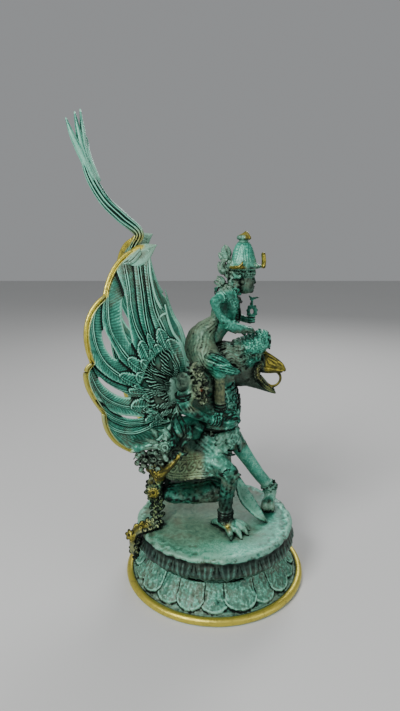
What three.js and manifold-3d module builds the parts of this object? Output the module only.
// A cast bronze statue: a crowned rider on a winged bird-man, standing on a rock over a lotus plinth.
// Millimetres. +Z is up, +X is the way the beak points and +Y is the bird-man's left side.
// The origin is the centre of the plinth's underside.
import * as THREE from 'three';
import { mergeVertices } from 'three/addons/utils/BufferGeometryUtils.js';
import Module from 'manifold-3d';

const wasm = await Module();
wasm.setup();

// Driving dimensions
const LIP_RADIUS = 80.5;
const PETALS = 20;
const ROCK_RADIUS = 71.3;
const ROCK_TOP = 52.5;
const ROCK_BOTTOM = 30;
const BELT_HEIGHT = 138;
const HEM_HEIGHT = 99;
const WING_ROOT = [-30, 185];
const WING_BASE_Y = 26;
const WING_SPREAD = 36;
const WING_BACK = 72;
const WING_MID_HEIGHT = 212;
const LEFT_TIP_RAISE = 8;
const LEFT_TIP_BACK = 8;
const LONG_FEATHERS = 8;
const SHORT_FEATHERS = 5;
const CLEARANCE = 0.35;

const UP = new THREE.Vector3(0, 0, 1);
const SIDEWAYS = new THREE.Vector3(0, 1, 0);

// Solids from three.js geometry

function solid(geometry) {
  geometry.deleteAttribute('normal');
  geometry.deleteAttribute('uv');
  const merged = mergeVertices(geometry);
  return new wasm.Manifold(new wasm.Mesh({
    numProp: 3,
    vertProperties: new Float32Array(merged.attributes.position.array),
    triVerts: new Uint32Array(merged.index.array),
  }));
}

function fuse(pieces) {
  let layer = pieces;
  while (layer.length > 1) {
    const next = [];
    for (let i = 0; i < layer.length; i += 2) {
      next.push(i + 1 < layer.length ? layer[i].add(layer[i + 1]) : layer[i]);
    }
    layer = next;
  }
  return layer[0];
}

// The body without the sealed pockets that crossing limbs leave inside it.
function withoutPockets(body) {
  return fuse(body.decompose().filter((shell) => shell.volume() > 0));
}

function mix(a, b, t) {
  return a + (b - a) * t;
}

function between(list, t) {
  const place = Math.min(t * (list.length - 1), list.length - 1.000001);
  const index = Math.floor(place);
  return mix(list[index], list[index + 1], place - index);
}

// Moves every vertex of a geometry to where the function puts it.
function reshape(geometry, move) {
  const position = geometry.attributes.position;
  for (let i = 0; i < position.count; i += 1) {
    position.setXYZ(i, ...move(position.getX(i), position.getY(i), position.getZ(i)));
  }
  return geometry;
}

// A cylinder bent along a smooth curve. Each radius is [half width, half thickness] or one number,
// and wide is the direction of the half width, or a function of the point that gives it.
function limb(points, radii, { sides = 6, steps, wide = SIDEWAYS, grow = 0 }) {
  const places = points.map((p) => new THREE.Vector3(...p));
  const curve = new THREE.CatmullRomCurve3(places, false, 'centripetal');
  const widths = radii.map((r) => (Array.isArray(r) ? r[0] : r) + grow);
  const depths = radii.map((r) => (Array.isArray(r) ? r[1] : r) + grow);
  return solid(reshape(new THREE.CylinderGeometry(1, 1, 1, sides, steps), (x, y, z) => {
    const t = y + 0.5;
    const centre = curve.getPoint(t);
    const along = curve.getTangent(t);
    const across = typeof wide === 'function' ? wide(centre) : wide.clone();
    across.addScaledVector(along, -across.dot(along)).normalize();
    const through = across.clone().cross(along);
    centre.addScaledVector(across, x * between(widths, t));
    centre.addScaledVector(through, z * between(depths, t));
    return centre.toArray();
  }));
}

function ball(centre, radii, across = 7, down = 4) {
  const [rx, ry, rz] = Array.isArray(radii) ? radii : [radii, radii, radii];
  const shape = new THREE.SphereGeometry(1, across, down);
  shape.rotateX(Math.PI / 2);
  shape.scale(rx, ry, rz);
  shape.translate(...centre);
  return solid(shape);
}

function bead(centre, radius) {
  return ball(centre, radius, 5, 3);
}

// A closed band round a centre: half axes in X and Y, tube radius, and a tilt about Y.
function band(centre, rx, ry, tube, tilt = 0, segments = 10) {
  const thin = 0.1;
  const shape = reshape(new THREE.TorusGeometry(1, thin, 4, segments), (x, y, z) => {
    const reach = Math.hypot(x, y);
    const swell = ((reach - 1) / thin) * tube;
    return [(x / reach) * (rx + swell), (y / reach) * (ry + swell), (z / thin) * tube];
  });
  shape.rotateY(tilt);
  shape.translate(...centre);
  return solid(shape);
}

// A curl of tapering rod that winds inward in the plane of out and up.
function curl(centre, reach, rod, out, up, start) {
  const count = 6;
  const points = [];
  const radii = [];
  for (let i = 0; i < count; i += 1) {
    const t = i / (count - 1);
    const angle = start + t * 2 * Math.PI;
    const size = reach * (1 - 0.72 * t);
    points.push(centre.map((c, k) => c + size * (Math.cos(angle) * out[k] + Math.sin(angle) * up[k])));
    radii.push(rod * (1 - 0.35 * t));
  }
  const wide = new THREE.Vector3(...out).cross(new THREE.Vector3(...up));
  return limb(points, radii, { sides: 4, steps: count - 1, wide });
}

// A rosette: a flattened ball whose edge is lobed into petals, with a bead in the middle.
function flower(centre, radius, facing) {
  const lobes = 6;
  const disc = new THREE.SphereGeometry(1, 2 * lobes, 3);
  disc.rotateX(Math.PI / 2);
  reshape(disc, (x, y, z) => {
    const reach = radius * (1 + 0.16 * Math.cos(lobes * Math.atan2(y, x)));
    return [x * reach, y * reach, z * 0.42 * radius];
  });
  const heart = new THREE.SphereGeometry(0.4 * radius, 5, 3);
  heart.translate(0, 0, 0.36 * radius);
  const turn = new THREE.Quaternion().setFromUnitVectors(UP, new THREE.Vector3(...facing).normalize());
  return fuse([disc, heart].map((form) => solid(form.applyQuaternion(turn).translate(...centre))));
}

function lathe(profile, segments) {
  const shape = new THREE.LatheGeometry(profile.map(([r, z]) => new THREE.Vector2(r, z)), segments);
  shape.rotateX(Math.PI / 2);
  return shape;
}

// Lotus plinth: one turned solid whose middle rows are lobed into petals, every second one set back.

function lotusPlinth() {
  const samplesPerPetal = 3;
  const top = ROCK_BOTTOM - CLEARANCE;
  const shape = lathe([
    [0, 0], [LIP_RADIUS - 2, 0], [LIP_RADIUS, 3], [LIP_RADIUS - 2, 7], [LIP_RADIUS - 6, 5.4],
    [70, 6.2], [71, 10], [66.5, 18], [60.5, 25], [54, top], [0, top],
  ], PETALS * samplesPerPetal);
  return solid(reshape(shape, (x, y, z) => {
    const radius = Math.hypot(x, y);
    if (radius < 60 || radius > 71.5 || z < 6) {
      return [x, y, z];
    }
    const turn = (Math.atan2(y, x) / (2 * Math.PI)) * PETALS;
    const fromMiddle = 2 * Math.abs(turn - Math.round(turn));
    const forward = Math.abs(Math.round(turn)) % 2 === 0 ? 1.1 : -0.7;
    const scale = 1 + (forward - 3.4 * fromMiddle ** 3) / radius;
    return [x * scale, y * scale, z];
  }));
}

// Rock that the figures stand on

function rock() {
  const shape = lathe([
    [0, ROCK_BOTTOM], [62, ROCK_BOTTOM], [69, ROCK_BOTTOM + 11], [ROCK_RADIUS, ROCK_TOP - 3],
    [ROCK_RADIUS - 2.5, ROCK_TOP], [30, ROCK_TOP + 1.5], [0, ROCK_TOP + 1.5],
  ], 28);
  return solid(reshape(shape, (x, y, z) => {
    const radius = Math.hypot(x, y);
    if (radius < 50) {
      return [x, y, z];
    }
    const angle = Math.atan2(y, x);
    const rough = z < ROCK_TOP - 6 && z > ROCK_BOTTOM ? 1 : 0.25;
    const ragged = 1.5 * Math.sin(5 * angle + 1) + 1.2 * Math.sin(13 * angle);
    const scale = 1 + (rough * ragged) / radius;
    return [x * scale, y * scale, z];
  }));
}

// Bird-man

function birdTrunk() {
  const trunk = limb(
    [
      [-6, 0, 112], [-2, 0, 124], [0, 0, BELT_HEIGHT], [2, 0, 150],
      [-1, 0, 166], [-6, 0, 180], [-4, 0, 194],
    ],
    [[24, 20], [22, 20], [19.5, 19], [23, 21], [27, 22], [31, 22], [21, 14]],
    { sides: 8, steps: 6 },
  );
  const neck = limb(
    [[0, 0, 182], [12, 0, 191], [26, 0, 197]],
    [[17, 16], [14.5, 14], [12, 12]],
    { sides: 7, steps: 1 },
  );
  const belt = band([0, 0, BELT_HEIGHT + 1], 20, 21.5, 3, 0.06, 7);
  return fuse([trunk, neck, belt]);
}

// A ball along X whose surface rises in rows of round locks of hair.
function locks(centre, radii, rows, around, height) {
  const shape = new THREE.SphereGeometry(1, 2 * around, 2 * rows);
  shape.rotateZ(-Math.PI / 2);
  return solid(reshape(shape, (x, y, z) => {
    const polar = Math.acos(Math.min(Math.max(x, -1), 1));
    const isPole = Math.abs(x) > 0.999;
    const wave = isPole ? 0 : Math.cos(2 * rows * polar) * Math.cos(around * Math.atan2(z, y));
    const swell = 1 + (height * wave) / radii[0];
    return [x, y, z].map((value, axis) => centre[axis] + value * radii[axis] * swell);
  }));
}

function mane() {
  return fuse([
    locks([18, 0, 203.5], [19, 14.5, 9.5], 2, 5, 0.8),
    locks([34, 0, 211.5], [12.5, 12.5, 11], 2, 5, 0.8),
  ]);
}

function birdHead() {
  const skull = ball([27.5, 0, 198], [14.5, 12.5, 12], 7, 5);
  const beak = limb(
    [[33, 0, 197.5], [42, 0, 197], [52, 0, 193.5], [59.2, 0, 188.8]],
    [[9.6, 8.8], [7.4, 8.2], [4.6, 4.6], [1.4, 1.6]],
    { sides: 6, steps: 3 },
  );
  const jaw = limb(
    [[27, 0, 184], [36, 0, 181], [43, 0, 175.5], [51.5, 0, 169]],
    [[11.5, 9], [9.5, 7], [6, 4.4], [1.2, 1.2]],
    { sides: 5, steps: 3 },
  );
  const hook = limb(
    [[54, 0, 189.4], [56.2, 0, 184], [54.8, 0, 177.6], [49.5, 0, 173]],
    [1.6, 1.3, 1.3, 1.5],
    { sides: 4, steps: 3 },
  );
  return fuse([skull, beak, jaw, hook]);
}

function birdArm(side) {
  const at = (x, y, z) => [x, y * side, z];
  const arm = limb(
    [at(-8, 24, 184), at(-18, 36, 188), at(-24, 43.5, 182), at(-25.5, 47.5, 172)],
    [12, 10, 8, 6.4],
    { sides: 6, steps: 3 },
  );
  const forearm = limb(
    [at(-25.5, 48, 172), at(-16, 49, 166.6), at(-4, 46, 161), at(7, 41, 158.5), at(17.5, 39, 159)],
    [[6, 6], [4.4, 4.4], [4.4, 4], [4.8, 4.2], [3.4, 3.6]],
    { sides: 5, steps: 4, wide: UP },
  );
  const shoulderBoss = ball(at(-26.5, 46, 191), [7, 7, 9], 6, 4);
  const plume = limb(
    [at(-18.5, 45, 205), at(-14.5, 46, 192), at(-10.5, 44, 175)],
    [[2.4, 2], [9, 3.6], [3.4, 3]],
    { sides: 5, steps: 2, wide: new THREE.Vector3(1, 0, 0.3) },
  );
  return fuse([arm, forearm, shoulderBoss, plume]);
}

function talonFoot(heel, side, toes) {
  const [x, y, z] = heel;
  const claws = toes.map(([dx, dy]) => limb(
    [heel, [x + 0.6 * dx, y + 0.6 * dy * side, z + 0.5], [x + dx, y + dy * side, z - 4]],
    [5, 3.6, 1],
    { sides: 4, steps: 1 },
  ));
  return fuse([ball(heel, [7, 6.5, 5.5], 6, 3), ...claws]);
}

// The wrapped skirt: an ellipse in plan that widens downward, with soft pleats.
function skirt() {
  const pleats = 7;
  return solid(reshape(new THREE.CylinderGeometry(1, 1, 1, 3 * pleats, 3), (x, y, z) => {
    const drop = 0.5 - y;
    const angle = Math.atan2(-z, x);
    const flare = drop ** 0.75;
    const reach = Math.hypot(x, z) * (1 + 0.035 * drop * Math.sin(pleats * angle + 1));
    return [
      mix(0, -14.5, flare) + mix(19, 29.5, flare) * reach * Math.cos(angle),
      mix(20.5, 35, flare) * reach * Math.sin(angle),
      mix(BELT_HEIGHT, HEM_HEIGHT + 3 * Math.cos(angle), drop),
    ];
  }));
}

// The skirt's gathered back, which hangs as one rounded roll behind the near shin.
function skirtRoll() {
  return limb(
    [[-47, -1, 80], [-38, 1, 80], [-18, 0, 80.6], [0, -6, 81], [9, -16, 83]],
    [[9, 6], [18, 10.4], [20, 11], [16, 10.4], [8, 8]],
    { sides: 8, steps: 4 },
  );
}

function pointedSash() {
  return limb(
    [[15, -20, 106], [21, -11.5, 95], [27, -12.3, 81], [36.4, -13, 67], [47, -13.6, 52.4]],
    [[5, 3], [3.4, 2], [7, 1.8], [6.6, 1.8], [0.8, 0.8]],
    { sides: 5, steps: 5, wide: new THREE.Vector3(0.83, 0, 0.56) },
  );
}

function birdLegs() {
  const nearThigh = limb(
    [[-10, -16, 117], [2, -25, 113], [12, -31, 109]],
    [13.5, 10.5, 8],
    { sides: 6, steps: 2 },
  );
  const nearShin = limb(
    [[13, -31.5, 110], [11, -29.5, 97], [8.8, -28, 84], [8.6, -26, 68], [8.8, -25, 58]],
    [8.4, 7, 6.6, 6.2, 6.2],
    { sides: 6, steps: 3 },
  );
  const farLeg = limb(
    [[6, 15, 126], [21, 17.5, 114.5], [32, 18, 98], [42, 18.5, 83], [52.6, 18.5, 67], [50, 12, 58]],
    [12, 8.6, 6.8, 6.2, 5.8, 5.4],
    { sides: 6, steps: 5 },
  );
  const nearFoot = talonFoot([10, -26, 57.5], -1, [[19, 4], [10, 14], [-12, -9]]);
  const farFoot = talonFoot([50.5, 12, 57.5], 1, [[-5, -8], [3, -8]]);
  const farAnklet = band([51.8, 19, 71], 6.8, 6.8, 2.2, 0.5, 7);
  return fuse([nearThigh, nearShin, farLeg, nearFoot, farFoot, farAnklet]);
}

// The sash that hangs down the back and over the rock's edge, with flowers and curls.
function backSash() {
  const parts = [
    limb(
      [[-20, 0, 122], [-34, 0, 121], [-46, 0, 116], [-51, 0, 104]],
      [[14, 6], [20, 6.4], [17, 6], [11, 8]],
      { sides: 6, steps: 3 },
    ),
    limb(
      [
        [-50.5, 0, 107], [-49, -2, 94], [-51.5, -4, 80], [-51.5, -11, 64], [-53, -19, 56],
        [-64, -25, 53.5], [-70.5, -27.5, 47], [-70, -28.5, 31],
      ],
      [[11, 8], [8, 6], [6, 5], [6, 4.6], [6.4, 3.6], [7.4, 3.6], [6, 3.8], [4, 3]],
      { sides: 6, steps: 8 },
    ),
  ];
  for (const side of [-1, 1]) {
    parts.push(flower([-54, 7.6 * side - 1, 80.6], 8.5, [-0.1, side, 0.1]));
  }
  parts.push(bead([-53.5, -1, 80.6], 7.4));
  parts.push(flower([-73.4, -28, 49.4], 5, [-0.5, -0.8, 0.35]));
  return fuse(parts);
}

// Rider

function riderTrunk() {
  const robe = limb(
    [[-9, 0, 198], [-12.5, 0, 209], [-10.5, 0, 219], [-2.5, 0, 230], [2, 0, 240]],
    [[13, 10], [16, 14], [14.5, 11.6], [9.5, 6], [6.5, 4.6]],
    { sides: 8, steps: 4 },
  );
  const trunk = limb(
    [[0, 0, 217], [7, 0, 231], [11, 0, 244], [10.5, 0, 253], [13, 0, 259]],
    [[9.5, 7.2], [9.4, 8.2], [13.5, 10.2], [13.5, 9], [5.6, 5]],
    { sides: 7, steps: 4 },
  );
  const neck = limb([[12, 0, 254], [18, 0, 263]], [6, 5.5], { sides: 5, steps: 1 });
  return fuse([robe, trunk, neck]);
}

// The head is a plain rounded form, and the crown over it is a stepped bell with horns.
function riderHead() {
  const head = ball([22, 0, 266], [10.2, 9.8, 12], 7, 5);
  const chin = bead([26.5, 0, 257.5], 5);
  const crown = lathe([
    [0, 273.6], [13.4, 274], [14, 276], [9.8, 281.6], [8.6, 287.5], [3.6, 296.2], [5.8, 298.6],
    [0, 304.2],
  ], 9);
  crown.translate(22.4, 0, 0);
  const frontHorn = limb(
    [[30, 0, 277], [36.5, 0, 275.8], [38.8, 0, 279], [38.2, 0, 286.6]],
    [[7, 2], [3.4, 1.8], [2.6, 1.9], [2.2, 1.7]],
    { sides: 4, steps: 3 },
  );
  const parts = [head, chin, solid(crown), frontHorn];
  const leaves = 3;
  for (let i = 0; i < leaves; i += 1) {
    const z = 260 + 11 * i;
    parts.push(limb(
      [[13, 0, z], [5.5, 0, z + 2.5], [-1 + 3.4 * i, 0, z + 6.5 + i]],
      [[5.5, 4.4], [5, 4.6], [2.4, 2.6]],
      { sides: 4, steps: 2 },
    ));
  }
  return fuse(parts);
}

function riderArms() {
  const nearUpper = limb(
    [[9, -12, 253.8], [3.6, -18.6, 253], [-1.6, -25, 250]],
    [5.6, 4.8, 4.4],
    { sides: 5, steps: 2 },
  );
  const nearFore = limb(
    [[-1.6, -25.5, 249.5], [1.6, -24.6, 241], [9, -21, 232], [19, -15.4, 227.4], [28.5, -12, 225.6]],
    [4, 3.4, 4.6, 4.8, 3.8],
    { sides: 5, steps: 4 },
  );
  const farUpper = limb(
    [[8, 12.5, 253.5], [10, 21, 247], [14, 25, 238]],
    [5.6, 4.9, 4.3],
    { sides: 5, steps: 2 },
  );
  const farFore = limb(
    [[14, 25, 238.5], [21, 20.5, 231.5], [29, 13, 230]],
    [4.3, 3.8, 3.8],
    { sides: 5, steps: 2 },
  );
  const shell = new THREE.TorusGeometry(4, 2, 4, 8);
  shell.rotateX(Math.PI / 2);
  shell.scale(0.95, 1, 1.25);
  shell.translate(31.2, 12, 238);
  const hand = bead([29.6, 12, 231], 4.2);
  return fuse([nearUpper, nearFore, farUpper, farFore, solid(shell), hand]);
}

function riderLeg(side) {
  const at = (x, y, z) => [x, y * side, z];
  const thigh = limb(
    [at(-11, 10, 208), at(-7, 18, 204), at(-1, 26, 200.5), at(6, 31, 197.5)],
    [13, 12, 9.5, 7.5],
    { sides: 6, steps: 3 },
  );
  const shin = limb(
    [at(3, 30.5, 198), at(2.2, 32, 181), at(3.4, 33, 166), at(5, 34, 157.5)],
    [5.6, 5.2, 4.8, 4.4],
    { sides: 5, steps: 2 },
  );
  const foot = limb(
    [at(3, 33.5, 158), at(9, 36, 157.4), at(16.5, 38, 156.6)],
    [[4.2, 3.6], [5, 3], [4.4, 1.6]],
    { sides: 5, steps: 1 },
  );
  const sashEnd = limb(
    [at(-8, 29.5, 206), at(0, 34, 204.5), at(9, 35, 200), at(18, 34.5, 196)],
    [[3, 2.6], [7, 3.4], [6.4, 3.6], [2.6, 2.4]],
    { sides: 5, steps: 3, wide: UP },
  );
  return fuse([thigh, shin, foot, sashEnd]);
}

// Wings. Each is laid out in side view, as x and z, and then lifted onto a bowed sheet.

function wingY(x, z) {
  const back = Math.min(Math.max((-25 - x) / WING_BACK, 0), 1.15);
  const narrowing = z > WING_MID_HEIGHT ? 0.96 : 0.67;
  const height = 1 - narrowing * ((z - WING_MID_HEIGHT) / 85) ** 2;
  return WING_BASE_Y + WING_SPREAD * back ** 0.55 * height;
}

function wingNormal(x, z, side) {
  const step = 0.5;
  const dx = (wingY(x + step, z) - wingY(x - step, z)) / (2 * step);
  const dz = (wingY(x, z + step) - wingY(x, z - step)) / (2 * step);
  return new THREE.Vector3(-dx, side, -dz).normalize();
}

// A place on the sheet in space, raised outward from it by out. The left wing leans back, so that its
// tip is further back and higher.
function onSheet([x, z], side, out = 0) {
  const normal = wingNormal(x, z, side);
  const lean = side > 0 ? Math.min(Math.max((z - 190) / 95, 0), 1) : 0;
  return [
    x + normal.x * out - LEFT_TIP_BACK * lean,
    wingY(x, z) * side + normal.y * out,
    z + normal.z * out + LEFT_TIP_RAISE * lean ** 2,
  ];
}

// The rim crosses the tip and runs down the back of the wing in scallops: their ends and fullest points.
const CUSPS = [[-51, 288], [-64, 288.5], [-83, 257], [-92.5, 210], [-87, 169], [-69.5, 131]];
const BULGES = [[-57.5, 291], [-76.5, 277], [-95, 238], [-97, 196], [-83, 147]];

// Slits between long feathers: the two ends, the middle between them and half the width there.
const SLITS = [
  { points: [[-64.5, 224], [-67.6, 240], [-68.7, 256]], half: 1.9 },
  { points: [[-80.2, 223], [-82.9, 233], [-84, 243]], half: 2 },
  { points: [[-72, 184.5], [-80, 190.5], [-88, 199]], half: 2.2 },
  { points: [[-67.5, 162.5], [-73.5, 164.5], [-79.8, 168.5]], half: 1.3 },
];

function rimPoint(along) {
  const scallop = Math.min(Math.floor(along), BULGES.length - 1);
  const t = along - scallop;
  const s = 1 - t;
  return [0, 1].map((axis) => {
    const start = CUSPS[scallop][axis];
    const end = CUSPS[scallop + 1][axis];
    const control = 2 * BULGES[scallop][axis] - (start + end) / 2;
    return s * s * start + 2 * s * t * control + t * t * end;
  });
}

// A place on the fan of feathers: across runs from the leading feather to the lowest one, and reach
// from the root to the rim. Feathers leave the root like a fan and bend upward.
function fanPoint(across, reach) {
  const spread = mix(1.44, -1.05, across);
  const out = new THREE.Vector2(-Math.cos(spread), Math.sin(spread));
  const start = new THREE.Vector2(...WING_ROOT).addScaledVector(out, 6);
  const end = new THREE.Vector2(...rimPoint(BULGES.length * across ** 0.85));
  const length = start.distanceTo(end);
  const lean = mix(-0.12, -0.75, Math.max(0, across - 0.6) / 0.4);
  const arrive = new THREE.Vector2(lean, Math.sqrt(1 - lean * lean));
  const curve = new THREE.CubicBezierCurve(
    start,
    start.clone().addScaledVector(out, 0.42 * length),
    end.clone().addScaledVector(arrive, -0.36 * length),
    end,
  );
  return curve.getPoint(reach).toArray();
}

// A ridged fan of feathers on the sheet, with a valley between neighbours. rows lists, from root to
// tip, where each row of corners lies and how far it stands from the middle of the sheet.
function featherFan(side, grow, { feathers, from, to, rows, ridge, rise }) {
  const columns = 2 * feathers;
  const steps = rows.length - 1;
  return solid(reshape(new THREE.BoxGeometry(1, 1, 1, columns, 1, steps), (x, y, z) => {
    const column = Math.round((x + 0.5) * columns);
    const [reach, thickness] = rows[Math.round((z + 0.5) * steps)];
    const outward = -side * Math.sign(y);
    const isRidge = column % 2 === 1 && outward > 0 && reach < 0.94;
    const flat = fanPoint(mix(from, to, column / columns), reach);
    return onSheet(flat, side, rise + outward * (thickness + grow + (isRidge ? ridge : 0)));
  }));
}

function wing(side, grow) {
  const strip = (flat, radii, steps) => {
    const points = flat.map((p) => onSheet(p, side));
    const along = new THREE.Vector3(...points[points.length - 1]).sub(new THREE.Vector3(...points[0]));
    const wide = (centre) => wingNormal(centre.x, centre.z, side).cross(along);
    return limb(points, radii, { sides: 4, steps, wide, grow });
  };
  const longRows = [[0, 2], [0.3, 1.8], [0.58, 1.5], [0.93, 1.1], [0.965, 2.2], [1, 1.6]];
  const shortRows = [[0.04, 1.8], [0.24, 2], [0.42, 1]];
  const parts = [
    featherFan(side, grow, {
      feathers: LONG_FEATHERS, from: 0, to: 1, rows: longRows, ridge: 1.1, rise: 0,
    }),
    featherFan(side, grow, {
      feathers: SHORT_FEATHERS, from: 0.08, to: 0.9, rows: shortRows, ridge: 1, rise: 1,
    }),
    strip([[-45.5, 233], [-37.5, 226], [-31, 213], [-25.5, 196]], [[1.8, 1.8], [2.6, 1.8], [4, 2]], 3),
    strip([[-69, 280.5], [-58.5, 286], [-45.5, 293.3]], [[3, 2.4], [6.6, 2.4], [1.2, 1.4]], 4),
    strip([[-68, 132], [-57, 134], [-46, 139], [-34, 156]], [[3, 2.4], [4.4, 2.6], [6, 2.6]], 3),
    flower(onSheet([-44, 142], side, 4), 8, wingNormal(-44, 142, side).toArray()),
    limb(
      [[-37, 37 * side, 183], [-28, 31.5 * side, 183], [-15, 25 * side, 183]],
      [[12, 5], [12, 6], [8, 5]],
      { steps: 2, wide: UP, grow },
    ),
  ];
  const slits = SLITS.map(({ points, half }) => strip(points, [[0.3, 6], [half, 6], [0.3, 6]], 2));
  return fuse(parts).subtract(fuse(slits));
}

// Tail: one ribbon of fused strands that rises between the wings and sweeps back above them.
function tail(grow) {
  const ribbon = limb(
    [
      [-16, 0, 131], [-40, 0, 138], [-62, 0, 158], [-80, 0, 190], [-86, 0, 230], [-79, 0, 268],
      [-66, 0, 293], [-62, 0, 301.5], [-75, 0, 314], [-88, 0, 327], [-98, 0, 344], [-105, 0, 364],
    ],
    [
      [6, 4], [8, 4], [10, 3], [11, 2.6], [11, 2.4], [9, 2.4], [6.5, 3],
      [6, 4], [6.5, 4.4], [7, 4.2], [7, 4], [7, 3.6],
    ],
    { sides: 6, steps: 14, grow },
  );
  const tips = [[-114.5, -5, 387.5], [-108.5, -1.5, 392.5], [-104.5, 2, 395], [-101.5, 5, 376]];
  const strands = tips.map(([x, y, z]) => limb(
    [[-98, 0.5 * y, 342], [-104 + 0.2 * (x + 106), 0.8 * y, 362], [x, y, z]],
    [2.4, 2.3, 0.8],
    { sides: 4, steps: 3, grow },
  ));
  return fuse([ribbon, ...strands]);
}

// Assembly

const group = new THREE.Group();

function place(name, body, color) {
  const { vertProperties, triVerts } = body.getMesh();
  const geometry = new THREE.BufferGeometry();
  geometry.setAttribute('position', new THREE.BufferAttribute(vertProperties, 3));
  geometry.setIndex(new THREE.BufferAttribute(triVerts, 1));
  geometry.computeVertexNormals();
  const look = new THREE.MeshStandardMaterial({ color, roughness: 0.6, metalness: 0.7 });
  const mesh = new THREE.Mesh(geometry, look);
  mesh.name = name;
  group.add(mesh);
}

const figures = fuse([
  rock(), skirt(), skirtRoll(), birdTrunk(), birdLegs(), birdArm(-1), birdArm(1), birdHead(), mane(),
  pointedSash(), backSash(), riderTrunk(), riderLeg(-1), riderLeg(1), riderArms(), riderHead(),
]);
const sockets = fuse([wing(-1, CLEARANCE), wing(1, CLEARANCE), tail(CLEARANCE)]);

place('lotus_plinth', lotusPlinth(), 0x2f7a66);
place('garuda_and_vishnu', withoutPockets(figures.subtract(sockets)), 0x2c6f60);
place('right_wing', wing(-1, 0), 0x2f8a7c);
place('left_wing', wing(1, 0), 0x2f8a7c);
place('tail_plume', tail(0), 0x3a9a86);

export default group;
